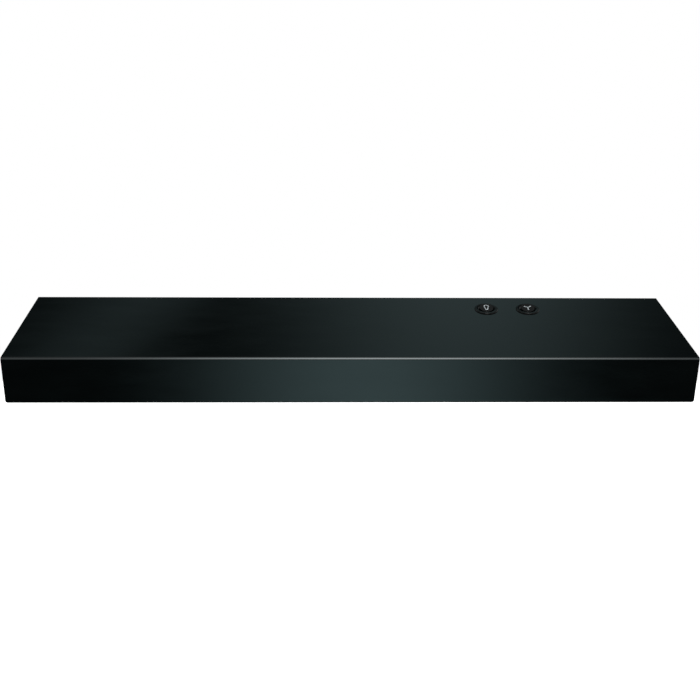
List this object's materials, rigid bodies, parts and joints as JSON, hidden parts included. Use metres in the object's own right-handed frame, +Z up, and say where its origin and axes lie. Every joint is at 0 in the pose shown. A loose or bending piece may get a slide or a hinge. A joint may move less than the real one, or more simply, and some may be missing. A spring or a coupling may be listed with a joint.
{
  "type": "under cabinet range hood",
  "caption": "Low black under-cabinet cooker hood with a sloping visor, round push buttons, a set-back lip and a rear duct collar.",
  "frame": {"origin": "middle of the flat top, which bears on the underside of the cabinet, midway between the four keyholes", "axes": "+Z up into the cabinet, +Y towards the wall, +X to the cook's right"},
  "size_m": [0.759, 0.4718, 0.1222],
  "materials": {
    "black_enamel": "gloss baked enamel",
    "black_plastic": "moulded gloss",
    "switch_plastic": "moulded",
    "pale_print": "printed",
    "bright_aluminium": "bright rolled",
    "porcelain": "glazed",
    "bulb_glass": "frosted inside",
    "brass": "rolled thread",
    "frosted_lens": "frosted and translucent",
    "filter_aluminium": "expanded mesh and folded rim",
    "zinc_steel": "zinc plated",
    "motor_paint": "satin grey",
    "white_plastic": "moulded",
    "black_rubber": "moulded",
    "wire_black": "insulation",
    "wire_green": "insulation",
    "orange_plastic": "moulded",
    "green_screw": "green plated"
  },
  "bodies": {
    "hood": {"canopy": "black_enamel", "left_side_panel": "black_enamel", "right_side_panel": "black_enamel", "back_panel": "black_enamel", "lamp_tray": "black_enamel", "filter_divider": "black_enamel", "wiring_box": "black_enamel", "light_button_bezel": "black_plastic", "fan_button_bezel": "black_plastic", "light_switch": "switch_plastic", "fan_switch": "switch_plastic", "left_reflector": "bright_aluminium", "right_reflector": "bright_aluminium", "left_socket": "porcelain", "right_socket": "porcelain", "left_bulb": "bulb_glass", "right_bulb": "bulb_glass", "left_bulb_cap": "brass", "right_bulb_cap": "brass", "filter_pivot_brackets": "zinc_steel", "filter_spring_clips": "zinc_steel", "blower_scroll": "zinc_steel", "left_blower_end": "zinc_steel", "right_blower_end": "zinc_steel", "blower_feet": "zinc_steel", "motor_cradle": "zinc_steel", "switch_bracket": "zinc_steel", "duct_collar": "zinc_steel", "damper_pin": "zinc_steel", "blower_motor": "motor_paint", "motor_capacitor": "white_plastic", "damper_seal": "black_rubber", "supply_leads": "wire_black", "earth_lead": "wire_green", "wire_nuts": "orange_plastic", "ground_screw": "green_screw", "wire_grommets": "black_rubber", "switch_wires": "wire_black", "motor_wires": "wire_black", "lamp_wires": "wire_black", "tray_screws": "zinc_steel", "blower_screws": "zinc_steel", "collar_screws": "zinc_steel", "box_screw": "zinc_steel"},
    "light_button": {"light_button_cap": "black_plastic", "light_symbol": "pale_print"},
    "fan_button": {"fan_button_cap": "black_plastic", "fan_symbol": "pale_print"},
    "blower_rotor": {"motor_shaft": "zinc_steel", "left_blower_wheel": "zinc_steel", "right_blower_wheel": "zinc_steel"},
    "damper": {"damper_flap": "bright_aluminium"},
    "left_filter": {"left_filter_frame": "filter_aluminium", "left_filter_mesh": "filter_aluminium", "left_filter_pull": "filter_aluminium"},
    "right_filter": {"right_filter_frame": "filter_aluminium", "right_filter_mesh": "filter_aluminium", "right_filter_pull": "filter_aluminium"},
    "left_lamp_lens": {"left_lens": "frosted_lens"},
    "right_lamp_lens": {"right_lens": "frosted_lens"}
  },
  "joints": [
    {"name": "light_button_press", "type": "slide", "parent": "hood", "child": "light_button", "axis": [0, 0.4637, -0.886], "range_m": [0, 0.0025], "stiffness_N_per_m": 600, "springref_m": -0.002},
    {"name": "fan_button_press", "type": "slide", "parent": "hood", "child": "fan_button", "axis": [0, 0.4637, -0.886], "range_m": [0, 0.0025], "stiffness_N_per_m": 600, "springref_m": -0.002},
    {"name": "blower_spin", "type": "hinge", "parent": "hood", "child": "blower_rotor", "pos_m": [0, 0.045, -0.056], "axis": [1, 0, 0], "continuous": true},
    {"name": "damper_swing", "type": "hinge", "parent": "hood", "child": "damper", "pos_m": [0, 0.1595, -0.01255], "axis": [1, 0, 0], "range_deg": [0, 80]},
    {"name": "left_filter_drop", "type": "hinge", "parent": "hood", "child": "left_filter", "pos_m": [-0.18575, 0.1325, -0.1077], "axis": [1, 0, 0], "range_deg": [0, 60]},
    {"name": "right_filter_drop", "type": "hinge", "parent": "hood", "child": "right_filter", "pos_m": [0.18575, 0.1325, -0.1077], "axis": [1, 0, 0], "range_deg": [0, 60]},
    {"name": "left_lens_drop", "type": "hinge", "parent": "hood", "child": "left_lamp_lens", "pos_m": [-0.232, -0.188, -0.1077], "axis": [1, 0, 0], "range_deg": [0, 80]},
    {"name": "right_lens_drop", "type": "hinge", "parent": "hood", "child": "right_lamp_lens", "pos_m": [0.232, -0.188, -0.1077], "axis": [1, 0, 0], "range_deg": [0, 80]}
  ]
}
